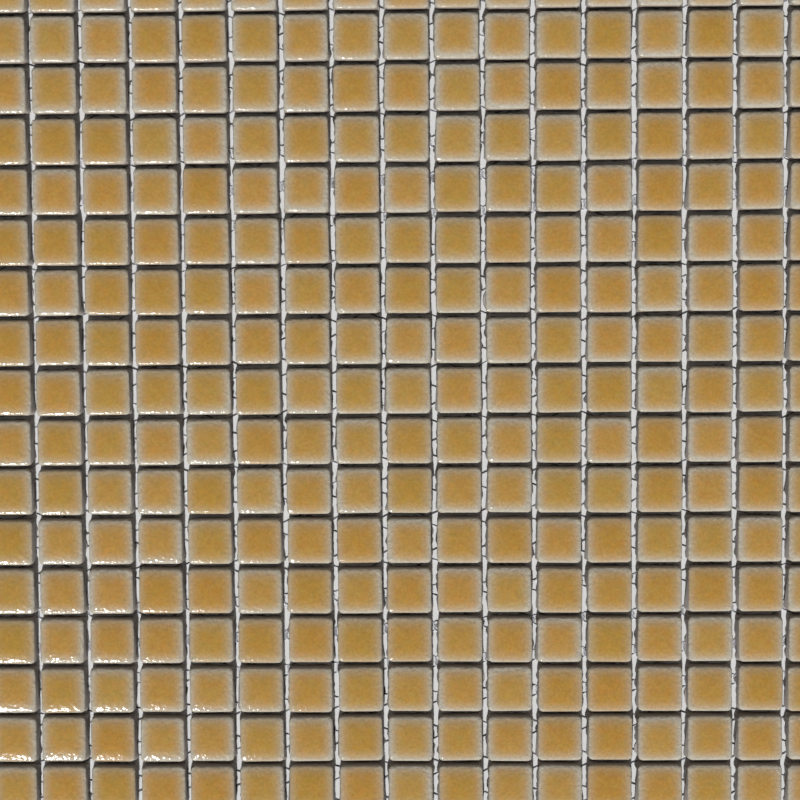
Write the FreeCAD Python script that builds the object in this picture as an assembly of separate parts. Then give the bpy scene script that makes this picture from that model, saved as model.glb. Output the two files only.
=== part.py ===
import FreeCAD, Part
import os

# Mosaic tile sheet: small glazed tiles laid face up in even rows, with open joints
# between them, on a thin net that holds them together.
# Millimetres, +Z up. The origin is at the middle of the net's underside.
# X runs along a row of tiles and Y across the rows.

# Driving dimensions of the layout. A joint is measured between two shoulders, where
# the side walls meet the eased rims.
ROWS = 26
TILES_PER_ROW = 26
COLUMN_JOINT = 1.44        # between neighbours in a row
ROW_JOINT = 1.14           # between one row and the next

# Driving dimensions of one tile
TILE_LENGTH = 10.1         # along X, from shoulder to shoulder
TILE_WIDTH = 10.4          # along Y, from shoulder to shoulder
TILE_THICKNESS = 3.7
FOOT_FLARE = 0.22          # how far each side wall leans out from shoulder to foot
RIM_WIDTH = 0.8            # how far the eased rim reaches in from the shoulder
RIM_DROP = 0.6             # how far the rim falls from the face to the shoulder

# Driving dimensions of the net
NET_THICKNESS = 0.3
NET_SETBACK = 1.0          # the net is trimmed this far inside the outer tiles' feet

# Sizes that follow
COLUMN_PITCH = TILE_LENGTH + COLUMN_JOINT
ROW_PITCH = TILE_WIDTH + ROW_JOINT
TILED_LENGTH = TILES_PER_ROW * COLUMN_PITCH - COLUMN_JOINT + 2.0 * FOOT_FLARE
TILED_WIDTH = ROWS * ROW_PITCH - ROW_JOINT + 2.0 * FOOT_FLARE

OUTPUT_FOLDER = "parts"


def centred_rectangle(length, width, height):
    """The outline of a level rectangle centred on the Z axis."""
    corner = FreeCAD.Vector(-length / 2.0, -width / 2.0, height)
    return Part.makePlane(length, width, corner).OuterWire


def centred_places(count, pitch):
    """The centres of so many pieces in a line, one pitch apart, middled on zero."""
    first = -(count - 1) * pitch / 2.0
    return [first + index * pitch for index in range(count)]


def tile_section(inset, height):
    """The tile's outline at a height, so far inside its shoulder (outside if negative)."""
    return centred_rectangle(TILE_LENGTH - 2.0 * inset, TILE_WIDTH - 2.0 * inset, height)


def make_tile():
    """One tile on the Z axis: drafted side walls with an eased rim round its face."""
    foot = NET_THICKNESS
    face = foot + TILE_THICKNESS
    sections = [
        tile_section(-FOOT_FLARE, foot),
        tile_section(0.0, face - RIM_DROP),
        tile_section(RIM_WIDTH, face),
    ]
    return Part.makeLoft(sections, True, True)


def make_tile_row(tile, row_y):
    """One row of separate tiles along X."""
    return Part.makeCompound(
        [tile.translated(FreeCAD.Vector(tile_x, row_y, 0.0))
         for tile_x in centred_places(TILES_PER_ROW, COLUMN_PITCH)]
    )


def make_backing_net():
    """The net's outer form: one flat layer under all the tiles."""
    outline = centred_rectangle(
        TILED_LENGTH - 2.0 * NET_SETBACK, TILED_WIDTH - 2.0 * NET_SETBACK, 0.0
    )
    return Part.Face(outline).extrude(FreeCAD.Vector(0.0, 0.0, NET_THICKNESS))


def build_nodes():
    """Every node's shape by its name, the rows counted from the front."""
    nodes = {"backing_net": make_backing_net()}
    tile = make_tile()
    for number, row_y in enumerate(centred_places(ROWS, ROW_PITCH), start=1):
        nodes[f"tile_row_{number:02d}"] = make_tile_row(tile, row_y)
    return nodes


def main():
    os.makedirs(OUTPUT_FOLDER, exist_ok=True)
    for name, shape in build_nodes().items():
        shape.exportStep(os.path.join(OUTPUT_FOLDER, name + ".step"))
        box = shape.BoundBox
        print(f"{name}: {len(shape.Solids)} solids, {shape.Volume:.1f} mm3, "
              f"{box.XLength:.2f} x {box.YLength:.2f} x {box.ZLength:.2f} mm")


main()
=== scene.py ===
"""A sheet of small glazed mosaic tiles on a knitted net, dressed for a studio picture.

The sheet lies face up. Each row of tiles is one piece, laid by a Geometry Nodes tree that
sets every tile a little out of line, as a hand-placed sheet is. Under the tiles lies one
open net of knitted yarn. Lengths are in metres, and fields that end in _mm in millimetres.
"""

import logging
import math
from dataclasses import dataclass, field
from enum import Enum
from typing import Any, Optional, Union

import bmesh
import bpy
from mathutils import Euler, Matrix, Vector


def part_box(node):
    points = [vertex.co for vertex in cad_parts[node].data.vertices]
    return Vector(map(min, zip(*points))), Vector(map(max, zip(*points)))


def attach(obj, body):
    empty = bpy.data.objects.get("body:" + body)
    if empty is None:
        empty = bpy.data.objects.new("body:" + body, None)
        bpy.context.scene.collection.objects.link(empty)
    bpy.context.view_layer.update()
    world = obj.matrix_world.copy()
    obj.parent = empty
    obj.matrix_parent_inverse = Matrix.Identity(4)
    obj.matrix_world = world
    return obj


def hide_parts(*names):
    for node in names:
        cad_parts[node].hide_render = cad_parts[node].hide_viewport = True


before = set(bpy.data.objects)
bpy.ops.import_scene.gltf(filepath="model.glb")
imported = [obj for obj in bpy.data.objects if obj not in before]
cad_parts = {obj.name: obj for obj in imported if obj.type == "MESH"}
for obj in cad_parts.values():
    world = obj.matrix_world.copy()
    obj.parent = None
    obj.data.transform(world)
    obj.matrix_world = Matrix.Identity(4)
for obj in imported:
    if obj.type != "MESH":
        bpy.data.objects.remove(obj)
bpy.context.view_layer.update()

LOG = logging.getLogger("mosaic_sheet")
MM = 0.001
BODY = "root"
NET_NODE = "backing_net"
ROW_NODES = "tile_row_"

# Attributes by which the shapes tell the trees and finishes about themselves.
PLACE = "tile_place"
TONE = "tile_tone"
DRIFT = "tile_drift"
GLAZED = "glazed"
TIGHTNESS = "yarn_tightness"

Colour = tuple[float, float, float]
Rgba = tuple[float, float, float, float]
Socket = bpy.types.NodeSocket
Sockets = Union[bpy.types.NodeInputs, bpy.types.NodeOutputs]
SocketKey = Union[int, str]
Number = Union[float, Socket]
Paint = Union[Rgba, Socket]


class Slot(Enum):
    """Names for material slots, which nothing in this script uses."""

    TILE = "glazed_tile"
    NET = "backing_net"


class TreeKind(Enum):
    """The kinds of node tree."""

    SHAPE = "GeometryNodeTree"
    SHADER = "ShaderNodeTree"


class SocketKind(Enum):
    """The kinds of input and output that the trees and shader groups have."""

    GEOMETRY = "NodeSocketGeometry"
    NUMBER = "NodeSocketFloat"
    COUNT = "NodeSocketInt"
    MATERIAL = "NodeSocketMaterial"
    COLOUR = "NodeSocketColor"


class Layers(Enum):
    """How many finer layers lie on a noise."""

    PLAIN = 0.0
    SOFT = 1.0
    UNEVEN = 2.0
    CLOUDY = 3.0


class Draw(Enum):
    """What is drawn for each tile, by the stream of its first random number."""

    SLIP = 10
    TURN = 20
    TONE = 30
    DRIFT = 40


# Wiring of node trees


@dataclass
class Wiring:
    """Adds nodes to one tree and joins them.

    Attributes:
        tree: The node tree being built.
        given: The tree's own inputs, where it has any.
    """

    tree: bpy.types.NodeTree
    given: Optional[Sockets] = None

    @staticmethod
    def socket(sockets: Sockets, key: SocketKey) -> Socket:
        """Finds a socket by its place, or the first one in use with that name.

        Args:
            sockets: A node's inputs or outputs.
            key: The socket's index or name.

        Returns:
            The socket.
        """
        if isinstance(key, int):
            return sockets[key]
        return next(entry for entry in sockets if entry.name == key and entry.enabled)

    def add(
        self, kind: str, inputs: Optional[dict[SocketKey, Any]] = None, **settings: Any
    ) -> bpy.types.Node:
        """Adds a node, sets it, and feeds its inputs.

        Args:
            kind: The node's type name.
            inputs: Values, or sockets to link from, by input name or index.
            **settings: The node's own properties.

        Returns:
            The new node.
        """
        node = self.tree.nodes.new(kind)
        for name, value in settings.items():
            setattr(node, name, value)
        for key, value in (inputs or {}).items():
            target = self.socket(node.inputs, key)
            if isinstance(value, Socket):
                self.tree.links.new(value, target)
            else:
                target.default_value = value
        return node

    def out(self, node: bpy.types.Node, key: SocketKey) -> Socket:
        """Returns one of a node's outputs."""
        return self.socket(node.outputs, key)

    def first(
        self, kind: str, inputs: Optional[dict[SocketKey, Any]] = None, **settings: Any
    ) -> Socket:
        """Adds a node as add does, and returns its first output."""
        return self.add(kind, inputs, **settings).outputs[0]

    def calc(self, operation: str, *values: Number, clamp: bool = False) -> Socket:
        """Adds a Math node.

        Args:
            operation: The node's operation, such as MULTIPLY.
            *values: Numbers or sockets, in the node's order.
            clamp: Whether the result stays between 0 and 1.

        Returns:
            The result.
        """
        inputs: dict[SocketKey, Any] = dict(enumerate(values))
        return self.first("ShaderNodeMath", inputs, operation=operation, use_clamp=clamp)

    def vector(self, operation: str, *values: Any, **named: Number) -> Socket:
        """Adds a Vector Math node.

        Args:
            operation: The node's operation, such as SCALE.
            *values: Vectors or sockets, in the node's order.
            **named: Inputs by name, such as Scale.

        Returns:
            The result.
        """
        inputs: dict[SocketKey, Any] = {**dict(enumerate(values)), **named}
        return self.first("ShaderNodeVectorMath", inputs, operation=operation)

    def joined(self, **axes: Number) -> Socket:
        """Makes a vector of its X, Y and Z, each of which is 0 if it isn't given."""
        return self.first("ShaderNodeCombineXYZ", dict(axes))

    def split(self, vector: Socket) -> Sockets:
        """Returns a vector's X, Y and Z."""
        return self.add("ShaderNodeSeparateXYZ", {0: vector}).outputs

    def mixed(self, factor: Number, first: Paint, second: Paint) -> Socket:
        """Blends two colours.

        Args:
            factor: 0 for the first colour, 1 for the second.
            first: A colour or socket.
            second: A colour or socket.

        Returns:
            The blended colour.
        """
        inputs: dict[SocketKey, Any] = {"Factor": factor, "A": first, "B": second}
        return self.out(self.add("ShaderNodeMix", inputs, data_type="RGBA"), "Result")

    def painted(self, attribute: str, output: str = "Vector") -> Socket:
        """Reads one of the piece's attributes in a material."""
        return self.out(self.add("ShaderNodeAttribute", attribute_name=attribute), output)

    def stored(self, attribute: str, kind: str) -> Socket:
        """Reads one of the shape's attributes in a Geometry Nodes tree."""
        node = self.add("GeometryNodeInputNamedAttribute", {"Name": attribute}, data_type=kind)
        return self.out(node, "Attribute")

    def noise(self, scale: Number, layers: Layers, roughness: float = 0.5) -> Socket:
        """Adds smooth noise that is fixed to the piece, for a material.

        Args:
            scale: How many of its patches there are in a metre.
            layers: How many finer layers it has.
            roughness: How strong each layer is against the one before.

        Returns:
            Its value, which swings about zero.
        """
        cloud = self.first("ShaderNodeTexNoise", {
            "Vector": self.out(self.add("ShaderNodeTexCoord"), "Object"),
            "Scale": scale,
            "Detail": layers.value,
            "Roughness": roughness,
        })
        return self.calc("SUBTRACT", cloud, 0.5)

    def random_number(self, low: float, high: float, stream: int) -> Socket:
        """Gives each point of a shape a fixed random number, from the tree's own Seed.

        Args:
            low: The lowest value.
            high: The highest value.
            stream: Keeps this draw apart from the others.

        Returns:
            The value.
        """
        seed = self.calc("ADD", self.given["Seed"], float(stream))
        inputs: dict[SocketKey, Any] = {"Min": low, "Max": high, "Seed": seed}
        return self.out(self.add("FunctionNodeRandomValue", inputs, data_type="FLOAT"), "Value")


def rgba(colour: Colour) -> Rgba:
    """Adds a full alpha to a colour."""
    return (*colour, 1.0)


def per_metre(length_mm: float) -> float:
    """Returns how many times a length fits in a metre."""
    return 1.0 / (length_mm * MM)


def numbers(*names: str) -> dict[str, SocketKind]:
    """Gives each name the kind of a plain number."""
    return {name: SocketKind.NUMBER for name in names}


def new_tree(
    name: str, kind: TreeKind, inputs: dict[str, SocketKind], outputs: dict[str, SocketKind]
) -> Wiring:
    """Starts a node tree with named inputs and outputs.

    Args:
        name: The tree's name.
        kind: What the tree makes.
        inputs: Each input's kind by name.
        outputs: Each output's kind by name.

    Returns:
        The wiring of the tree.
    """
    tree = bpy.data.node_groups.new(name, kind.value)
    for in_out, sockets in (("INPUT", inputs), ("OUTPUT", outputs)):
        for label, socket_kind in sockets.items():
            tree.interface.new_socket(label, in_out=in_out, socket_type=socket_kind.value)
    wiring = Wiring(tree)
    wiring.given = wiring.add("NodeGroupInput").outputs
    return wiring


def grow(obj: bpy.types.Object, tree: bpy.types.NodeTree, values: dict[str, Any]) -> None:
    """Runs a Geometry Nodes tree on an object and keeps the result as its plain mesh.

    Args:
        obj: The object whose mesh is the tree's starting geometry.
        tree: The tree to run.
        values: The tree's inputs by name.
    """
    modifier = obj.modifiers.new(tree.name, "NODES")
    modifier.node_group = tree
    for item in tree.interface.items_tree:
        if item.in_out == "INPUT" and item.name in values:
            modifier[item.identifier] = values[item.name]
    obj.update_tag()
    graph = bpy.context.evaluated_depsgraph_get()
    mesh = bpy.data.meshes.new_from_object(obj.evaluated_get(graph))
    obj.modifiers.remove(modifier)
    mesh.name = obj.name
    obj.data = mesh


def sway(wiring: Wiring, shape: Socket, reach: Number, scale: Number) -> Socket:
    """Moves a shape's points sideways along smooth random waves.

    Args:
        wiring: The tree's wiring.
        shape: The shape to move.
        reach: The waves' full swing.
        scale: How many waves there are in a metre.

    Returns:
        The moved shape.
    """
    waves = wiring.add("ShaderNodeTexNoise", {
        "Vector": wiring.first("GeometryNodeInputPosition"),
        "Scale": scale,
        "Detail": Layers.SOFT.value,
    })
    swing = wiring.vector("SUBTRACT", wiring.out(waves, "Color"), (0.5, 0.5, 0.5))
    level = wiring.vector("MULTIPLY", swing, (1.0, 1.0, 0.0))
    offset = wiring.vector("SCALE", level, Scale=reach)
    return wiring.first("GeometryNodeSetPosition", {"Geometry": shape, "Offset": offset})


def new_object(name: str, data: bpy.types.ID) -> bpy.types.Object:
    """Puts a mesh, light or camera in the scene at the origin.

    Args:
        name: The object's name.
        data: The mesh, light or camera.

    Returns:
        The new object.
    """
    obj = bpy.data.objects.new(name, data)
    bpy.context.scene.collection.objects.link(obj)
    return obj


# Finishes


def mottle_group() -> bpy.types.NodeTree:
    """Builds the shader group that clouds a colour, as firing and handling do.

    Returns:
        The group: Colour, Depth and Scale in, Colour out.
    """
    wiring = new_tree(
        "cloudy_tint", TreeKind.SHADER,
        {"Colour": SocketKind.COLOUR, **numbers("Depth", "Scale")},
        {"Colour": SocketKind.COLOUR},
    )
    given = wiring.given
    clouds = wiring.noise(given["Scale"], Layers.CLOUDY, roughness=0.6)
    gain = wiring.calc("MULTIPLY_ADD", clouds, given["Depth"], 1.0)
    tinted = wiring.vector("SCALE", given["Colour"], Scale=gain)
    wiring.add("NodeGroupOutput", {"Colour": tinted})
    return wiring.tree


def ripple_group() -> bpy.types.NodeTree:
    """Builds the shader group for the small waves of a surface.

    Returns:
        The group: Wave Scale, Grain Scale and Grain Share in, Height out.
    """
    wiring = new_tree(
        "surface_ripple", TreeKind.SHADER,
        numbers("Wave Scale", "Grain Scale", "Grain Share"),
        numbers("Height"),
    )
    given = wiring.given
    waves = wiring.noise(given["Wave Scale"], Layers.SOFT)
    grain = wiring.noise(given["Grain Scale"], Layers.UNEVEN)
    height = wiring.calc("MULTIPLY_ADD", grain, given["Grain Share"], waves)
    wiring.add("NodeGroupOutput", {"Height": height})
    return wiring.tree


@dataclass
class FinishGroups:
    """The shader groups that several finishes share.

    Attributes:
        mottle: Clouds a colour.
        ripple: Gives a surface its relief.
    """

    mottle: bpy.types.NodeTree = field(default_factory=mottle_group)
    ripple: bpy.types.NodeTree = field(default_factory=ripple_group)


@dataclass(frozen=True)
class Ripple:
    """The relief of a surface.

    Attributes:
        wave_mm: Length of the long waves.
        grain_mm: Length of the fine grain.
        grain_share: The grain's height against the waves'.
        height_mm: How far the waves rise.
    """

    wave_mm: float
    grain_mm: float
    grain_share: float
    height_mm: float


@dataclass(frozen=True)
class Finish:
    """A surface finish with one clouded colour.

    Attributes:
        name: The material's name.
        colour: The base colour.
        roughness: How matt it is.
        mottle_depth: How much the colour clouds.
        mottle_mm: The size of the clouds.
        ripple: The relief.
    """

    name: str
    colour: Colour
    roughness: float
    mottle_depth: float
    mottle_mm: float
    ripple: Ripple

    def paint(self, wiring: Wiring) -> Paint:
        """Returns the colour before it is clouded."""
        return rgba(self.colour)

    def emboss(self, wiring: Wiring, height: Socket) -> Socket:
        """Returns the relief's height, which is as strong all over the surface."""
        return height

    def material(self, groups: FinishGroups) -> bpy.types.Material:
        """Builds the material.

        Args:
            groups: The shared shader groups.

        Returns:
            The new material.
        """
        made = bpy.data.materials.new(self.name)
        made.use_nodes = True
        made.diffuse_color = rgba(self.colour)
        made.node_tree.nodes.clear()
        wiring = Wiring(made.node_tree)
        clouded = wiring.first("ShaderNodeGroup", {
            "Colour": self.paint(wiring),
            "Depth": self.mottle_depth,
            "Scale": per_metre(self.mottle_mm),
        }, node_tree=groups.mottle)
        relief = wiring.first("ShaderNodeGroup", {
            "Wave Scale": per_metre(self.ripple.wave_mm),
            "Grain Scale": per_metre(self.ripple.grain_mm),
            "Grain Share": self.ripple.grain_share,
        }, node_tree=groups.ripple)
        bump = wiring.first("ShaderNodeBump", {
            "Height": self.emboss(wiring, relief),
            "Distance": self.ripple.height_mm * MM,
        })
        shader = wiring.first("ShaderNodeBsdfPrincipled", {
            "Base Color": clouded,
            "Roughness": self.roughness,
            "Normal": bump,
        })
        wiring.add("ShaderNodeOutputMaterial", {"Surface": shader})
        return made


@dataclass(frozen=True)
class AmberGlaze(Finish):
    """A glaze that pools deep in the middle of a tile and thins over its rim.

    Attributes:
        pale_pool: The pool's colour in the palest tile.
        thin_colour: The colour where the glaze is thin.
        pool_squareness: 2 for a round pool, more for a squarer one.
        pool_fall: How late the glaze thins towards the rim.
        pool_drift: How far a tile's pool sits off its middle, as a share of its half side.
        pool_wobble: How uneven the pool's edge is.
        wobble_mm: The size of the waves in that edge.
        patch_mm: The size of the patches where the pool is thinner or deeper.
        patch_depth: How much thinner or deeper they are.
        tone_swing: How much the pool's size differs between tiles.
        warm_tint: What the colour is multiplied by where it fired warmest.
        cool_tint: And where it fired coolest.
        tint_mm: The size of the warm and cool patches.
        tint_swing: How much warmer one tile is than another.
        calm: The relief's strength where the glaze pools, against its strength on the rim.
    """

    pale_pool: Colour = (0.404, 0.229, 0.044)
    thin_colour: Colour = (0.434, 0.394, 0.319)
    pool_squareness: float = 4.5
    pool_fall: float = 3.9
    pool_drift: float = 0.06
    pool_wobble: float = 0.10
    wobble_mm: float = 2.4
    patch_mm: float = 1.5
    patch_depth: float = 0.2
    tone_swing: float = 0.16
    warm_tint: Colour = (1.11, 0.92, 0.86)
    cool_tint: Colour = (0.91, 1.075, 1.13)
    tint_mm: float = 1.8
    tint_swing: float = 0.14
    calm: float = 0.2

    def thinness(self, wiring: Wiring) -> Socket:
        """Works out how thin the glaze lies at a point of its tile.

        Args:
            wiring: The material's wiring.

        Returns:
            0 in the middle of the pool and 1 on the rim.
        """
        moved = wiring.vector("SCALE", wiring.painted(DRIFT), Scale=self.pool_drift)
        centred = wiring.vector("ADD", wiring.painted(PLACE), moved)
        sides = wiring.split(wiring.vector("ABSOLUTE", centred))
        powers = [wiring.calc("POWER", sides[axis], self.pool_squareness) for axis in (0, 1)]
        distance = wiring.calc("POWER", wiring.calc("ADD", *powers), 1.0 / self.pool_squareness)
        waves = wiring.noise(per_metre(self.wobble_mm), Layers.UNEVEN)
        wobble = wiring.calc("MULTIPLY", waves, self.pool_wobble)
        tone = wiring.calc("SUBTRACT", wiring.painted(TONE, "Fac"), 0.5)
        swing = wiring.calc("MULTIPLY", tone, self.tone_swing)
        spread = wiring.calc("ADD", wiring.calc("ADD", wobble, swing), 1.0)
        reach = wiring.calc("MULTIPLY", distance, spread)
        even = wiring.calc("POWER", reach, self.pool_fall)
        patches = wiring.noise(per_metre(self.patch_mm), Layers.UNEVEN)
        return wiring.calc("MULTIPLY_ADD", patches, self.patch_depth, even, clamp=True)

    def paint(self, wiring: Wiring) -> Socket:
        """Mixes the deep and thin glaze by how thick it lies, and warms and cools it.

        Args:
            wiring: The material's wiring.

        Returns:
            The glaze's colour.
        """
        own = wiring.split(wiring.painted(DRIFT))[2]
        patches = wiring.noise(per_metre(self.tint_mm), Layers.UNEVEN)
        middle = wiring.calc("ADD", patches, 0.5)
        warmth = wiring.calc("MULTIPLY_ADD", own, self.tint_swing, middle, clamp=True)
        tint = wiring.mixed(warmth, rgba(self.cool_tint), rgba(self.warm_tint))
        tone = wiring.painted(TONE, "Fac")
        pool = wiring.mixed(tone, rgba(self.colour), rgba(self.pale_pool))
        tinted = wiring.vector("MULTIPLY", pool, tint)
        return wiring.mixed(self.thinness(wiring), tinted, rgba(self.thin_colour))

    def emboss(self, wiring: Wiring, height: Socket) -> Socket:
        """Calms the relief where the glaze pools.

        Args:
            wiring: The material's wiring.
            height: The relief's height.

        Returns:
            The height with its own strength at each point.
        """
        thinness = self.thinness(wiring)
        strength = wiring.calc("MULTIPLY_ADD", thinness, 1.0 - self.calm, self.calm)
        return wiring.calc("MULTIPLY", height, strength)


@dataclass(frozen=True)
class PressedBody(Finish):
    """A fired body, with painted shade on the two side walls that face the next rows.

    Attributes:
        row_shade_colour: The painted shade's colour on those walls, which face the next rows, for
            the shade in the narrow joints between rows.
        wall_power: How sharply the four walls are told from each other.
        shade_edge: How suddenly the painted shade ends near an upright corner.
    """

    row_shade_colour: Colour
    wall_power: float = 8.0
    shade_edge: float = 3.0

    def paint(self, wiring: Wiring) -> Socket:
        """Mixes the body's colour and its painted shade by the way that a wall faces.

        Args:
            wiring: The material's wiring.

        Returns:
            The body's colour, painted darker as shade on the walls that face the next rows.
        """
        sides = wiring.split(wiring.vector("ABSOLUTE", wiring.painted(PLACE)))
        beside, ahead = (wiring.calc("POWER", sides[axis], self.wall_power) for axis in (0, 1))
        lead = wiring.calc("SUBTRACT", ahead, beside)
        # Painted shade: the walls that face the next rows are darkened for the shade in the
        # joints between rows.
        shade_share = wiring.calc("MULTIPLY", lead, self.shade_edge, clamp=True)
        return wiring.mixed(shade_share, rgba(self.colour), rgba(self.row_shade_colour))


@dataclass(frozen=True)
class KnittedYarn(Finish):
    """A yarn that is paler in the bars and in slack links, and darker in tight links.

    Attributes:
        pale_colour: The paler colour, in the bars and the slack links.
        slack_mm: The length over which a link stays tight or slack.
        slack_swing: How much the links differ in it.
        tightness: How closed a middling link is.
    """

    pale_colour: Colour
    slack_mm: float = 3.5
    slack_swing: float = 3.0
    tightness: float = 0.78

    def paint(self, wiring: Wiring) -> Socket:
        """Mixes the two colours by how tight the yarn is.

        Args:
            wiring: The material's wiring.

        Returns:
            The yarn's colour.
        """
        waves = wiring.noise(per_metre(self.slack_mm), Layers.PLAIN)
        link = wiring.calc(
            "MULTIPLY_ADD", waves, self.slack_swing, self.tightness, clamp=True)
        closed = wiring.calc("MULTIPLY", wiring.painted(TIGHTNESS, "Fac"), link)
        return wiring.mixed(closed, rgba(self.pale_colour), rgba(self.colour))


AMBER_GLAZE = AmberGlaze(
    name="amber_glaze",
    colour=(0.384, 0.208, 0.025),
    roughness=0.17,
    mottle_depth=0.62,
    mottle_mm=0.6,
    ripple=Ripple(wave_mm=0.95, grain_mm=0.35, grain_share=0.05, height_mm=0.24),
)
PORCELAIN_BODY = PressedBody(
    name="porcelain_body",
    colour=(0.35, 0.32, 0.295),
    # Painted shade on the walls that face the next rows.
    row_shade_colour=(0.28, 0.24, 0.205),
    roughness=0.75,
    mottle_depth=0.25,
    mottle_mm=1.6,
    ripple=Ripple(wave_mm=0.9, grain_mm=0.2, grain_share=0.5, height_mm=0.03),
)
GREY_YARN = KnittedYarn(
    name="grey_yarn",
    colour=(0.085, 0.085, 0.09),
    pale_colour=(0.70, 0.70, 0.75),
    roughness=0.85,
    mottle_depth=0.7,
    mottle_mm=0.5,
    ripple=Ripple(wave_mm=0.25, grain_mm=0.08, grain_share=0.6, height_mm=0.02),
)
PALE_FLOOR = Finish(
    name="pale_floor",
    colour=(0.675, 0.675, 0.67),
    roughness=0.9,
    mottle_depth=0.14,
    mottle_mm=0.9,
    ripple=Ripple(wave_mm=3.0, grain_mm=0.4, grain_share=0.3, height_mm=0.01),
)


# The tiles


@dataclass
class MosaicTile:
    """One pressed tile: nearly upright walls, an eased rim and a face that crowns a little.

    Attributes:
        length_mm: Between its side walls along X, at the rim.
        width_mm: Between its side walls along Y, at the rim.
        foot_mm: The height of its underside.
        top_mm: The height of the crown's top.
        flare_mm: How far each wall leans out from rim to foot.
        corner_radius_mm: Of the upright corners, at the rim.
        corner_easing: How much the corners' radius shrinks for each millimetre inwards.
        rim_width_mm: How far the rim reaches in.
        rim_drop_mm: How far the rim falls below the crown's own curve.
        crown_mm: How far the face would rise from side wall to middle without its rim.
        corner_steps: Straight stretches round an upright corner.
        foot_steps: Straight stretches along each side of the foot.
        rim_steps: Bands over the rim.
        middle_ring: Where the ring between rim and middle lies, as a share of the face.
    """

    length_mm: float
    width_mm: float
    foot_mm: float
    top_mm: float
    flare_mm: float = 0.2
    corner_radius_mm: float = 0.9
    corner_easing: float = 0.3
    rim_width_mm: float = 0.75
    rim_drop_mm: float = 0.36
    crown_mm: float = 0.6
    corner_steps: int = 2
    foot_steps: int = 9
    rim_steps: int = 3
    middle_ring: float = 0.55

    def crowned(self, inset_mm: float) -> float:
        """Returns the crown's height so far inside the side walls."""
        share = 1.0 - 2.0 * inset_mm / self.width_mm
        return self.top_mm - self.crown_mm * share ** 2

    def ring(self, inset_mm: float, height_mm: float) -> list[Vector]:
        """Lays out one level outline of the tile.

        Args:
            inset_mm: How far inside the side walls it runs.
            height_mm: Its height.

        Returns:
            Its points in millimetres, counter-clockwise.
        """
        radius = self.corner_radius_mm - inset_mm * self.corner_easing
        reach_x = self.length_mm / 2.0 - inset_mm - radius
        reach_y = self.width_mm / 2.0 - inset_mm - radius
        points = []
        for quarter, (side_x, side_y) in enumerate(((1, 1), (-1, 1), (-1, -1), (1, -1))):
            for step in range(self.corner_steps + 1):
                angle = (quarter + step / self.corner_steps) * math.pi / 2.0
                x = side_x * reach_x + radius * math.cos(angle)
                y = side_y * reach_y + radius * math.sin(angle)
                points.append(Vector((x, y, height_mm)))
        return points

    def rings(self) -> list[list[Vector]]:
        """Lays out the tile's outlines, from the foot to the ring in the face.

        Returns:
            The points of each one, in millimetres.
        """
        rings = [self.ring(-self.flare_mm, self.foot_mm)]
        for step in range(self.rim_steps + 1):
            angle = step * math.pi / 2.0 / self.rim_steps
            inset = self.rim_width_mm * (1.0 - math.cos(angle))
            eased = self.rim_drop_mm * (1.0 - math.sin(angle))
            rings.append(self.ring(inset, self.crowned(inset) - eased))
        half = self.width_mm / 2.0
        height = self.crowned(half - (half - self.rim_width_mm) * self.middle_ring)
        rings.append([Vector((point.x * self.middle_ring, point.y * self.middle_ring, height))
                      for point in rings[-1]])
        return rings

    def stretches(
        self, form: bmesh.types.BMesh, foot: list[bmesh.types.BMVert]
    ) -> list[list[bmesh.types.BMVert]]:
        """Divides the straight sides of the foot, so that its edge can be ragged.

        Args:
            form: The tile's form.
            foot: The points of the foot's outline.

        Returns:
            For each point of the outline, that point and those between it and the next.
        """
        shares = [step / self.foot_steps for step in range(1, self.foot_steps)]
        found = []
        for index, start in enumerate(foot):
            stretch = [start]
            if index % (self.corner_steps + 1) == self.corner_steps:
                end = foot[(index + 1) % len(foot)]
                stretch += [form.verts.new(start.co.lerp(end.co, share)) for share in shares]
            found.append(stretch)
        return found

    def mesh(self) -> bpy.types.Mesh:
        """Builds the tile on the Z axis, with its own coordinates as an attribute.

        Returns:
            The mesh, in metres.
        """
        form = bmesh.new()
        glazed = form.faces.layers.bool.new(GLAZED)
        rows = [[form.verts.new(point) for point in ring] for ring in self.rings()]
        foot = self.stretches(form, rows[0])
        levels = [foot, *([[point] for point in row] for row in rows[1:])]
        for level, (lower, upper) in enumerate(zip(levels, levels[1:])):
            for index, stretch in enumerate(lower):
                after = (index + 1) % len(lower)
                band = form.faces.new(
                    (*stretch, lower[after][0], upper[after][0], upper[index][0]))
                band[glazed] = level > 0
        middle = form.verts.new((0.0, 0.0, self.top_mm))
        for first, second in zip(rows[-1], rows[-1][1:] + rows[-1][:1]):
            wedge = form.faces.new((first, second, middle))
            wedge[glazed] = True
        for face in form.faces:
            face.smooth = True
        underside = [point for stretch in foot for point in stretch]
        for edge in form.faces.new(underside[::-1]).edges:
            edge.smooth = False
        made = bpy.data.meshes.new("mosaic_tile")
        form.to_mesh(made)
        form.free()
        self.store_place(made)
        made.transform(Matrix.Scale(MM, 4))
        return made

    def store_place(self, made: bpy.types.Mesh) -> None:
        """Stores where each point is on its tile.

        Across the side walls that is from -1 to 1, and in height from 0 at the foot to 1 at
        the top.

        Args:
            made: The tile's mesh, in millimetres.
        """
        height = self.top_mm - self.foot_mm
        place = made.attributes.new(PLACE, "FLOAT_VECTOR", "POINT")
        for point, entry in zip(made.vertices, place.data):
            x, y, z = point.co
            entry.vector = (
                2.0 * x / self.length_mm, 2.0 * y / self.width_mm, (z - self.foot_mm) / height)


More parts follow.
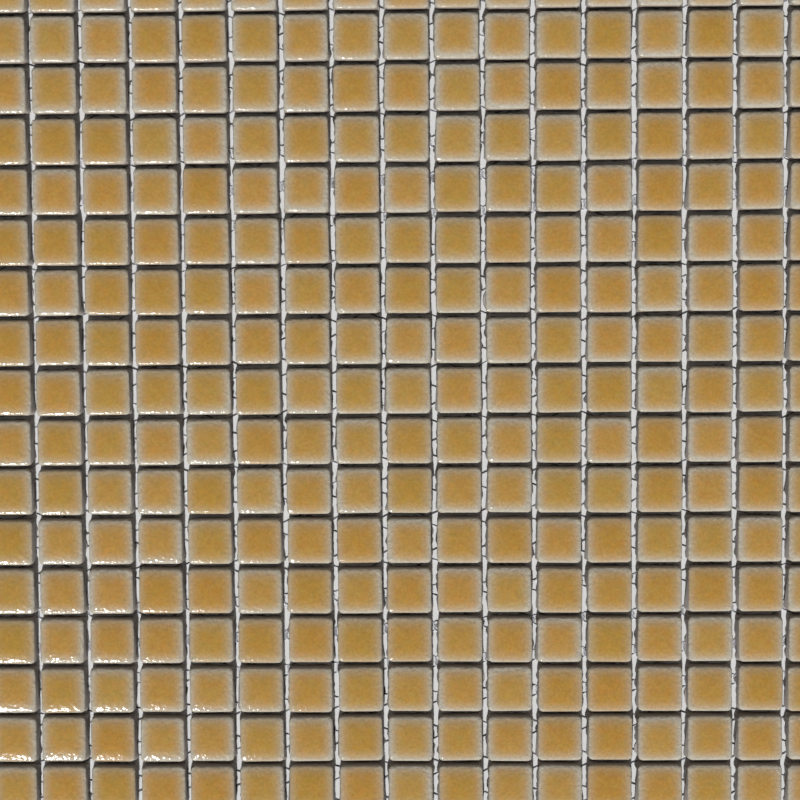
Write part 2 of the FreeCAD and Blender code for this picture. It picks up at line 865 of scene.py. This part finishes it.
@dataclass(frozen=True)
class Laying:
    """How unevenly the tiles are laid.

    Attributes:
        slip_mm: How far a tile slips along and across its row.
        turn_deg: How far it turns on the net.
        lean_deg: How far its face leans.
        warp_mm: How far its form is out of true.
        warp_length_mm: The length over which it is.
        foot_warp_mm: The full swing of its foot's ragged edge.
        foot_warp_length_mm: The length over which it swings.
        foot_hollow_mm: How far in that edge goes at most.
        foot_across: The swing's share on the walls that face the next rows.
        foot_height: The share of the tile's height that counts as its foot.
    """

    slip_mm: float = 0.12
    turn_deg: float = 0.6
    lean_deg: float = 0.35
    warp_mm: float = 0.16
    warp_length_mm: float = 5.0
    foot_warp_mm: float = 2.0
    foot_warp_length_mm: float = 1.1
    foot_hollow_mm: float = 0.18
    foot_across: float = 0.6
    foot_height: float = 0.01


@dataclass
class TileRows:
    """All the rows of tiles.

    Attributes:
        tile: The tile that the rows repeat.
        pitch_mm: From one tile to the next.
        laying: How unevenly they are laid.
        seed: Picks the random draws.
        seed_step: Keeps the draws of one row apart from the next row's.
    """

    tile: MosaicTile
    pitch_mm: float
    laying: Laying
    seed: int = 4100
    seed_step: int = 100

    def tree(self) -> bpy.types.NodeTree:
        """Builds the tree that lays one row.

        Returns:
            The Geometry Nodes tree.
        """
        wiring = new_tree(
            "tile_row",
            TreeKind.SHAPE,
            {
                "Tile": SocketKind.GEOMETRY,
                "Tiles": SocketKind.COUNT,
                **numbers("Pitch", "Row Place", "Slip", "Turn", "Lean", "Warp", "Warp Scale"),
                **numbers("Foot Warp", "Foot Scale", "Foot Hollow", "Foot Across", "Foot Height"),
                "Seed": SocketKind.COUNT,
                "Glaze": SocketKind.MATERIAL,
                "Body": SocketKind.MATERIAL,
            },
            {"Row": SocketKind.GEOMETRY},
        )
        given = wiring.given
        laid = self.lay_tiles(wiring, self.row_points(wiring))
        eased = sway(wiring, laid, given["Warp"], given["Warp Scale"])
        row = self.rough_feet(wiring, eased)
        plain = wiring.first(
            "GeometryNodeSetMaterial", {"Geometry": row, "Material": given["Body"]})
        dressed = wiring.first("GeometryNodeSetMaterial", {
            "Geometry": plain,
            "Selection": wiring.stored(GLAZED, "BOOLEAN"),
            "Material": given["Glaze"],
        })
        wiring.add("NodeGroupOutput", {"Row": dressed})
        return wiring.tree

    @staticmethod
    def row_points(wiring: Wiring) -> Socket:
        """Sets out one point for each tile, evenly along the row.

        Args:
            wiring: The tree's wiring.

        Returns:
            The points.
        """
        given = wiring.given
        steps = wiring.calc("SUBTRACT", given["Tiles"], 1.0)
        start = wiring.calc("MULTIPLY", wiring.calc("MULTIPLY", steps, given["Pitch"]), -0.5)
        return wiring.first("GeometryNodeMeshLine", {
            "Count": given["Tiles"],
            "Start Location": wiring.joined(X=start, Y=given["Row Place"]),
            "Offset": wiring.joined(X=given["Pitch"]),
        }, mode="OFFSET")

    @staticmethod
    def draws(wiring: Wiring, draw: Draw, limits: tuple[Number, Number, Number]) -> Socket:
        """Draws a random vector for each tile.

        Args:
            wiring: The tree's wiring.
            draw: What it is for.
            limits: How far it may go each way along X, Y and Z.

        Returns:
            The vector.
        """
        parts: dict[str, Socket] = {}
        for axis, (name, limit) in enumerate(zip("XYZ", limits)):
            share = wiring.random_number(-1.0, 1.0, draw.value + axis)
            parts[name] = wiring.calc("MULTIPLY", share, limit)
        return wiring.joined(**parts)

    def lay_tiles(self, wiring: Wiring, points: Socket) -> Socket:
        """Lays a tile at each point, a little out of place, and gives it its own tone.

        Args:
            wiring: The tree's wiring.
            points: The row's points.

        Returns:
            The row as plain geometry.
        """
        given = wiring.given
        slip = self.draws(wiring, Draw.SLIP, (given["Slip"], given["Slip"], 0.0))
        turned = self.draws(wiring, Draw.TURN, (given["Lean"], given["Lean"], given["Turn"]))
        slipped = wiring.first("GeometryNodeSetPosition", {"Geometry": points, "Offset": slip})
        tiles = wiring.first("GeometryNodeInstanceOnPoints", {
            "Points": slipped, "Instance": given["Tile"], "Rotation": turned})
        toned = wiring.first("GeometryNodeStoreNamedAttribute", {
            "Geometry": tiles,
            "Name": TONE,
            "Value": wiring.random_number(0.0, 1.0, Draw.TONE.value),
        }, data_type="FLOAT", domain="INSTANCE")
        drifted = wiring.first("GeometryNodeStoreNamedAttribute", {
            "Geometry": toned,
            "Name": DRIFT,
            "Value": self.draws(wiring, Draw.DRIFT, (1.0, 1.0, 1.0)),
        }, data_type="FLOAT_VECTOR", domain="INSTANCE")
        return wiring.first("GeometryNodeRealizeInstances", {"Geometry": drifted})

    @staticmethod
    def rough_feet(wiring: Wiring, row: Socket) -> Socket:
        """Makes the edges of the feet ragged, as pressed and glued tiles have them.

        Args:
            wiring: The tree's wiring.
            row: The row's geometry.

        Returns:
            The row with ragged feet.
        """
        given = wiring.given
        place = wiring.stored(PLACE, "FLOAT_VECTOR")
        height = wiring.split(place)[2]
        waves = wiring.first("ShaderNodeTexNoise", {
            "Vector": wiring.first("GeometryNodeInputPosition"),
            "Scale": given["Foot Scale"],
            "Detail": Layers.SOFT.value,
        })
        swing = wiring.calc(
            "MULTIPLY", wiring.calc("SUBTRACT", waves, 0.5), given["Foot Warp"])
        hollow = wiring.calc("MULTIPLY", given["Foot Hollow"], -1.0)
        reach = wiring.calc("MAXIMUM", swing, hollow)
        shares = wiring.joined(X=1.0, Y=given["Foot Across"])
        outward = wiring.vector("MULTIPLY", place, shares)
        return wiring.first("GeometryNodeSetPosition", {
            "Geometry": row,
            "Selection": wiring.calc("LESS_THAN", height, given["Foot Height"]),
            "Offset": wiring.vector("SCALE", outward, Scale=reach),
        })

    def build(
        self, nodes: list[str], glaze: bpy.types.Material, body: bpy.types.Material
    ) -> list[bpy.types.Object]:
        """Makes one piece for each row and puts it in place of its node.

        Args:
            nodes: The rows' nodes, from the front.
            glaze: The face's material.
            body: The walls' material.

        Returns:
            The rows.
        """
        tile = self.tile.mesh()
        tree = self.tree()
        laying = self.laying
        rows = []
        for number, node in enumerate(nodes, start=1):
            low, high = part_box(node)
            # No joint follows the last tile, so the row is a little short of whole pitches.
            count = math.ceil((high.x - low.x) / (self.pitch_mm * MM))
            row = new_object(f"glazed_row_{number:02d}", tile)
            grow(row, tree, {
                "Tiles": count,
                "Pitch": self.pitch_mm * MM,
                "Row Place": (low.y + high.y) / 2.0,
                "Slip": laying.slip_mm * MM,
                "Turn": math.radians(laying.turn_deg),
                "Lean": math.radians(laying.lean_deg),
                "Warp": laying.warp_mm * MM,
                "Warp Scale": per_metre(laying.warp_length_mm),
                "Foot Warp": laying.foot_warp_mm * MM,
                "Foot Scale": per_metre(laying.foot_warp_length_mm),
                "Foot Hollow": laying.foot_hollow_mm * MM,
                "Foot Across": laying.foot_across,
                "Foot Height": laying.foot_height,
                "Seed": self.seed + self.seed_step * number,
                "Glaze": glaze,
                "Body": body,
            })
            place_piece(row, node)
            LOG.info("%s: %d tiles, %d faces", row.name, count, len(row.data.polygons))
            rows.append(row)
        bpy.data.meshes.remove(tile)
        return rows


# The net


@dataclass
class KnittedNet:
    """An open warp-knitted net: upright knitted bars joined by slanting yarns.

    Attributes:
        column_gap_mm: Between columns of bars.
        row_gap_mm: Between bars in a column; the next column stands half of it higher.
        bar_mm: The length of a bar.
        bar_width_mm: Between the two yarns that cross in a bar.
        crossings: How often the yarns cross in a bar.
        bar_fineness: The yarn's width in a bar, where its filaments part, as a share.
        shoulder_mm: How far beside its column a yarn leaves the bar for the next column.
        yarn_width_mm: Of the pressed yarn.
        yarn_thickness_mm: Of the pressed yarn.
        yarn_sides: Of its section, which has few because the net is so fine.
        section_reach: From the section's middle to its corners, as a share of its size.
        join_mm: The gap over which the ends of two links join.
        turn_deg: How far the net is turned under the tiles.
        slack_mm: How far the yarns lie off their lines.
        slack_length_mm: The length over which they do.
        spare: How much longer the net is knitted than it is cut.
    """

    column_gap_mm: float = 5.77
    row_gap_mm: float = 8.3
    bar_mm: float = 2.2
    bar_width_mm: float = 0.5
    crossings: int = 4
    bar_fineness: float = 0.85
    shoulder_mm: float = 0.75
    yarn_width_mm: float = 0.32
    yarn_thickness_mm: float = 0.14
    yarn_sides: int = 3
    section_reach: float = 0.55
    join_mm: float = 0.02
    turn_deg: float = 3.2
    slack_mm: float = 0.9
    slack_length_mm: float = 7.0
    spare: float = 1.15

    def yarn_path(self, side: float) -> list[Vector]:
        """Lays out one yarn of a bar, from the middle of one link to that of the next.

        Args:
            side: The side that the yarn comes from, -1 or 1.

        Returns:
            Its points in millimetres.
        """
        half_bar = self.bar_mm / 2.0
        bend = half_bar + self.yarn_width_mm / 4.0
        end_x, end_y = self.column_gap_mm / 2.0, self.row_gap_mm / 4.0
        path = [Vector((side * end_x, -end_y, 0.0)),
                Vector((side * self.shoulder_mm, -bend, 0.0))]
        for step in range(self.crossings + 1):
            swing = side if step % 2 == 0 else -side
            x = swing * self.bar_width_mm / 2.0
            y = -half_bar + step * self.bar_mm / self.crossings
            path.append(Vector((x, y, side * self.yarn_thickness_mm / 2.0)))
        leaving = side if self.crossings % 2 == 0 else -side
        path.append(Vector((leaving * self.shoulder_mm, bend, 0.0)))
        path.append(Vector((leaving * end_x, end_y, 0.0)))
        return path

    def stitch(self, lift_mm: float) -> bpy.types.Mesh:
        """Builds the two yarns of one bar, each tight outside the bar and loose in it.

        Args:
            lift_mm: The height of the net's middle.

        Returns:
            A mesh of edges only, in metres.
        """
        form = bmesh.new()
        tightness = form.verts.layers.float.new(TIGHTNESS)
        lift = Vector((0.0, 0.0, lift_mm))
        for side in (-1.0, 1.0):
            points = [form.verts.new((point + lift) * MM) for point in self.yarn_path(side)]
            for point in (*points[:2], *points[-2:]):
                point[tightness] = 1.0
            for first, second in zip(points, points[1:]):
                form.edges.new((first, second))
        made = bpy.data.meshes.new("knitted_stitch")
        form.to_mesh(made)
        form.free()
        return made

    def tree(self) -> bpy.types.NodeTree:
        """Builds the tree that knits, turns and trims the net.

        Returns:
            The Geometry Nodes tree.
        """
        wiring = new_tree(
            "knitted_net",
            TreeKind.SHAPE,
            {
                "Stitch": SocketKind.GEOMETRY,
                "Columns": SocketKind.COUNT,
                "Rows": SocketKind.COUNT,
                **numbers("Column Gap", "Row Gap", "Join Gap", "Turn", "Trim"),
                **numbers("Slack", "Slack Scale", "Yarn Width", "Yarn Thickness"),
                **numbers("Section Reach", "Bar Fineness"),
                "Yarn Sides": SocketKind.COUNT,
                "Yarn": SocketKind.MATERIAL,
            },
            {"Net": SocketKind.GEOMETRY},
        )
        given = wiring.given
        lines = sway(wiring, self.knit(wiring), given["Slack"], given["Slack Scale"])
        spun = self.spin(wiring, self.turn_and_trim(wiring, lines))
        dressed = wiring.first(
            "GeometryNodeSetMaterial", {"Geometry": spun, "Material": given["Yarn"]})
        wiring.add("NodeGroupOutput", {"Net": dressed})
        return wiring.tree

    @staticmethod
    def knit(wiring: Wiring) -> Socket:
        """Sets the stitches out in staggered columns and joins them.

        Args:
            wiring: The tree's wiring.

        Returns:
            The net's centre lines.
        """
        given = wiring.given
        inputs: dict[SocketKey, Any] = {}
        for axis, count, gap in (("X", "Columns", "Column Gap"), ("Y", "Rows", "Row Gap")):
            steps = wiring.calc("SUBTRACT", given[count], 1.0)
            inputs[f"Size {axis}"] = wiring.calc("MULTIPLY", steps, given[gap])
            inputs[f"Vertices {axis}"] = given[count]
        grid = wiring.first("GeometryNodeMeshGrid", inputs)
        index = wiring.first("GeometryNodeInputIndex")
        column = wiring.calc("FLOOR", wiring.calc("DIVIDE", index, given["Rows"]))
        half = wiring.calc("MULTIPLY", wiring.calc("MODULO", column, 2.0), 0.5)
        rise = wiring.calc("MULTIPLY", half, given["Row Gap"])
        staggered = wiring.first(
            "GeometryNodeSetPosition", {"Geometry": grid, "Offset": wiring.joined(Y=rise)})
        stitches = wiring.first(
            "GeometryNodeInstanceOnPoints", {"Points": staggered, "Instance": given["Stitch"]})
        loose = wiring.first("GeometryNodeRealizeInstances", {"Geometry": stitches})
        return wiring.first(
            "GeometryNodeMergeByDistance", {"Geometry": loose, "Distance": given["Join Gap"]})

    @staticmethod
    def turn_and_trim(wiring: Wiring, lines: Socket) -> Socket:
        """Turns the net and cuts it to the square of the sheet.

        Args:
            wiring: The tree's wiring.
            lines: The net's centre lines.

        Returns:
            The trimmed lines.
        """
        given = wiring.given
        angle = wiring.joined(Z=given["Turn"])
        turned = wiring.first("GeometryNodeTransform", {"Geometry": lines, "Rotation": angle})
        place = wiring.split(wiring.first("GeometryNodeInputPosition"))
        reach = [wiring.calc("ABSOLUTE", place[axis]) for axis in (0, 1)]
        outside = wiring.calc("GREATER_THAN", wiring.calc("MAXIMUM", *reach), given["Trim"])
        return wiring.first(
            "GeometryNodeDeleteGeometry", {"Geometry": turned, "Selection": outside},
            domain="POINT")

    @staticmethod
    def spin(wiring: Wiring, lines: Socket) -> Socket:
        """Gives the lines the pressed section of the yarn.

        Args:
            wiring: The tree's wiring.
            lines: The trimmed lines.

        Returns:
            The yarns' surface.
        """
        given = wiring.given
        curves = wiring.first("GeometryNodeMeshToCurve", {"Mesh": lines})
        level = wiring.first("GeometryNodeSetCurveNormal", {"Curve": curves}, mode="Z_UP")
        section = wiring.first("GeometryNodeCurvePrimitiveCircle", {
            "Resolution": given["Yarn Sides"], "Radius": given["Section Reach"]}, mode="RADIUS")
        size = wiring.joined(X=given["Yarn Width"], Y=given["Yarn Thickness"], Z=1.0)
        pressed = wiring.first("GeometryNodeTransform", {"Geometry": section, "Scale": size})
        tightness = wiring.stored(TIGHTNESS, "FLOAT")
        return wiring.first("GeometryNodeCurveToMesh", {
            "Curve": level,
            "Profile Curve": pressed,
            "Scale": wiring.calc("MAXIMUM", tightness, given["Bar Fineness"]),
            "Fill Caps": True,
        })

    def build(self, node: str, yarn: bpy.types.Material) -> bpy.types.Object:
        """Makes the net and puts it in place of its node.

        Args:
            node: The net's node.
            yarn: The yarn's material.

        Returns:
            The net.
        """
        low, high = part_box(node)
        length = (high.x - low.x) / MM
        net = new_object("knitted_net", self.stitch((low.z + high.z) / 2.0 / MM))
        grow(net, self.tree(), {
            "Columns": math.ceil(length * self.spare / self.column_gap_mm),
            "Rows": math.ceil(length * self.spare / self.row_gap_mm),
            "Column Gap": self.column_gap_mm * MM,
            "Row Gap": self.row_gap_mm * MM,
            "Join Gap": self.join_mm * MM,
            "Turn": math.radians(self.turn_deg),
            "Slack": self.slack_mm * MM,
            "Slack Scale": per_metre(self.slack_length_mm),
            "Trim": (high.x - low.x) / 2.0 - self.yarn_width_mm * MM,
            "Yarn Width": self.yarn_width_mm * MM,
            "Yarn Thickness": self.yarn_thickness_mm * MM,
            "Yarn Sides": self.yarn_sides,
            "Section Reach": self.section_reach,
            "Bar Fineness": self.bar_fineness,
            "Yarn": yarn,
        })
        place_piece(net, node)
        LOG.info("%s: %d faces", net.name, len(net.data.polygons))
        return net


def place_piece(piece: bpy.types.Object, node: str) -> None:
    """Lets a piece ride on the sheet in place of its node.

    Args:
        piece: The finished piece.
        node: The node that it stands for.
    """
    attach(piece, BODY)
    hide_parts(node)


# The studio


@dataclass(frozen=True)
class Lamp:
    """A distant lamp.

    Attributes:
        name: Its name.
        azimuth_deg: Its bearing from the front (-Y), towards the left (-X).
        elevation_deg: Its height above the floor.
        width_deg: How wide it looks from the sheet.
        strength: Its irradiance in watts for each square metre.
        glossy: Whether it shows in glossy reflections only, or in all but those.
    """

    name: str
    azimuth_deg: float
    elevation_deg: float
    width_deg: float
    strength: float
    glossy: bool

    def hang(self) -> None:
        """Hangs the lamp and turns it to the sheet."""
        lamp = new_object(self.name, self.light())
        lamp.location = self.place()
        lamp.rotation_euler = self.towards().to_track_quat("Z", "Y").to_euler()
        lamp.visible_glossy = self.glossy
        lamp.visible_diffuse = not self.glossy

    def towards(self) -> Vector:
        """Works out the direction from the sheet to the lamp.

        Returns:
            The direction, one long.
        """
        azimuth = math.radians(self.azimuth_deg)
        elevation = math.radians(self.elevation_deg)
        return Vector((
            -math.sin(azimuth) * math.cos(elevation),
            -math.cos(azimuth) * math.cos(elevation),
            math.sin(elevation),
        ))

    def place(self) -> Vector:
        """Returns where the lamp hangs, which doesn't matter for a distant one."""
        return self.towards()

    def light(self) -> bpy.types.Light:
        """Makes the light itself.

        Returns:
            The light's data.
        """
        light = bpy.data.lights.new(self.name, "SUN")
        light.energy = self.strength
        light.angle = math.radians(self.width_deg)
        return light


@dataclass(frozen=True)
class SpotLamp(Lamp):
    """A near lamp with a soft-edged beam, so its light falls off over the sheet.

    Attributes:
        aim: The point that the beam is centred on.
        distance: From there to the lamp.
        beam_deg: The beam's full angle.
    """

    aim: tuple[float, float, float]
    distance: float
    beam_deg: float

    def place(self) -> Vector:
        """Returns where the lamp hangs."""
        return Vector(self.aim) + self.towards() * self.distance

    def light(self) -> bpy.types.Light:
        """Makes the light itself, so strong that its irradiance holds where it is aimed.

        Returns:
            The light's data.
        """
        light = bpy.data.lights.new(self.name, "SPOT")
        light.energy = self.strength * 4.0 * math.pi * self.distance ** 2
        light.shadow_soft_size = self.distance * math.tan(math.radians(self.width_deg / 2.0))
        light.spot_size = math.radians(self.beam_deg)
        light.spot_blend = 1.0
        return light


FORM_LAMP = Lamp(
    name="form_lamp",
    azimuth_deg=6.0,
    elevation_deg=45.0,
    width_deg=3.5,
    strength=3.9,
    glossy=False,
)
GLOSS_LAMP = SpotLamp(
    name="gloss_lamp",
    azimuth_deg=10.0,
    elevation_deg=31.0,
    width_deg=5.5,
    strength=3.1,
    glossy=True,
    aim=(-0.12, 0.12, 0.0),
    distance=0.6,
    beam_deg=50.0,
)


@dataclass
class Studio:
    """A pale floor, a lamp for form, a lamp for gloss and a soft even light all round.

    Attributes:
        floor_side: The floor's side.
        lamps: The lamps.
        ambient: The even light's colour.
        backdrop: What the surroundings look like, and show in glossy surfaces.
    """

    floor_side: float = 24.0
    lamps: tuple[Lamp, ...] = (FORM_LAMP, GLOSS_LAMP)
    ambient: Colour = (0.115, 0.109, 0.103)
    backdrop: Colour = (0.672, 0.671, 0.66)

    def build(self, floor_finish: bpy.types.Material) -> None:
        """Lays the floor and sets the lights.

        Args:
            floor_finish: The floor's material.
        """
        self.lay_floor(floor_finish)
        for lamp in self.lamps:
            lamp.hang()
        bpy.context.scene.world = self.surroundings()
        bpy.context.scene.view_settings.view_transform = "Standard"

    def surroundings(self) -> bpy.types.World:
        """Makes the even light and the pale surroundings.

        Returns:
            The world.
        """
        world = bpy.data.worlds.new("even_light")
        world.use_nodes = True
        world.node_tree.nodes.clear()
        wiring = Wiring(world.node_tree)
        path = wiring.add("ShaderNodeLightPath")
        seen = wiring.out(path, "Is Camera Ray")
        for ray in ("Is Glossy Ray", "Is Transmission Ray"):
            seen = wiring.calc("MAXIMUM", seen, wiring.out(path, ray))
        colour = wiring.mixed(seen, rgba(self.ambient), rgba(self.backdrop))
        background = wiring.first("ShaderNodeBackground", {"Color": colour, "Strength": 1.0})
        wiring.add("ShaderNodeOutputWorld", {"Surface": background})
        return world

    def lay_floor(self, finish: bpy.types.Material) -> None:
        """Lays the floor that the sheet lies on.

        Args:
            finish: The floor's material.
        """
        half = self.floor_side / 2.0
        mesh = bpy.data.meshes.new("floor")
        corners = [(-half, -half, 0.0), (half, -half, 0.0), (half, half, 0.0), (-half, half, 0.0)]
        mesh.from_pydata(corners, [], [(0, 1, 2, 3)])
        mesh.materials.append(finish)
        new_object("floor", mesh)


@dataclass
class PictureCamera:
    """The camera, which looks almost straight down on the sheet.

    Attributes:
        place: Its place above the sheet.
        tilt_deg: Its tilt about X and Y.
        roll_deg: Its roll about the line of sight.
        focal_px: Its focal length in pixels of the picture.
        picture_px: The picture's side.
        nearest: How near it still sees a thing.
    """

    place: tuple[float, float, float] = (0.01058, 0.02225, 0.39348)
    tilt_deg: tuple[float, float] = (-2.734, 0.976)
    roll_deg: float = -0.392
    focal_px: float = 1700.0
    picture_px: float = 800.0
    nearest: float = 0.01

    def build(self) -> None:
        """Sets up the camera and makes it the scene's own."""
        data = bpy.data.cameras.new("picture_camera")
        data.lens = data.sensor_width * self.focal_px / self.picture_px
        data.clip_start = self.nearest
        camera = new_object("picture_camera", data)
        camera.location = self.place
        turn = (*self.tilt_deg, self.roll_deg)
        camera.rotation_euler = Euler([math.radians(angle) for angle in turn])
        bpy.context.scene.camera = camera


def tile_from_frame(nodes: list[str]) -> tuple[MosaicTile, float]:
    """Reads the tile's size and the pitch from the model.

    Args:
        nodes: The rows' nodes, from the front.

    Returns:
        The tile, and the pitch in millimetres.
    """
    (low, high), (next_low, _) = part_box(nodes[0]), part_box(nodes[1])
    pitch_mm = (next_low.y - low.y) / MM
    flare_mm = MosaicTile.flare_mm
    tile = MosaicTile(
        # A row is a whole number of pitches and one more tile, measured at its feet.
        length_mm=(high.x - low.x) / MM % pitch_mm - 2.0 * flare_mm,
        width_mm=(high.y - low.y) / MM - 2.0 * flare_mm,
        foot_mm=low.z / MM,
        top_mm=high.z / MM,
    )
    return tile, pitch_mm


def main() -> None:
    """Builds the sheet, the studio and the camera."""
    logging.basicConfig(level=logging.INFO, format="%(name)s: %(message)s")
    groups = FinishGroups()
    glaze, body, yarn, floor = (
        finish.material(groups)
        for finish in (AMBER_GLAZE, PORCELAIN_BODY, GREY_YARN, PALE_FLOOR)
    )
    nodes = sorted(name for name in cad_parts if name.startswith(ROW_NODES))
    tile, pitch_mm = tile_from_frame(nodes)
    rows = TileRows(tile, pitch_mm, Laying()).build(nodes, glaze, body)
    LOG.info("%d rows of tiles", len(rows))
    KnittedNet().build(NET_NODE, yarn)
    Studio().build(floor)
    PictureCamera().build()


if __name__ == "__main__":
    main()
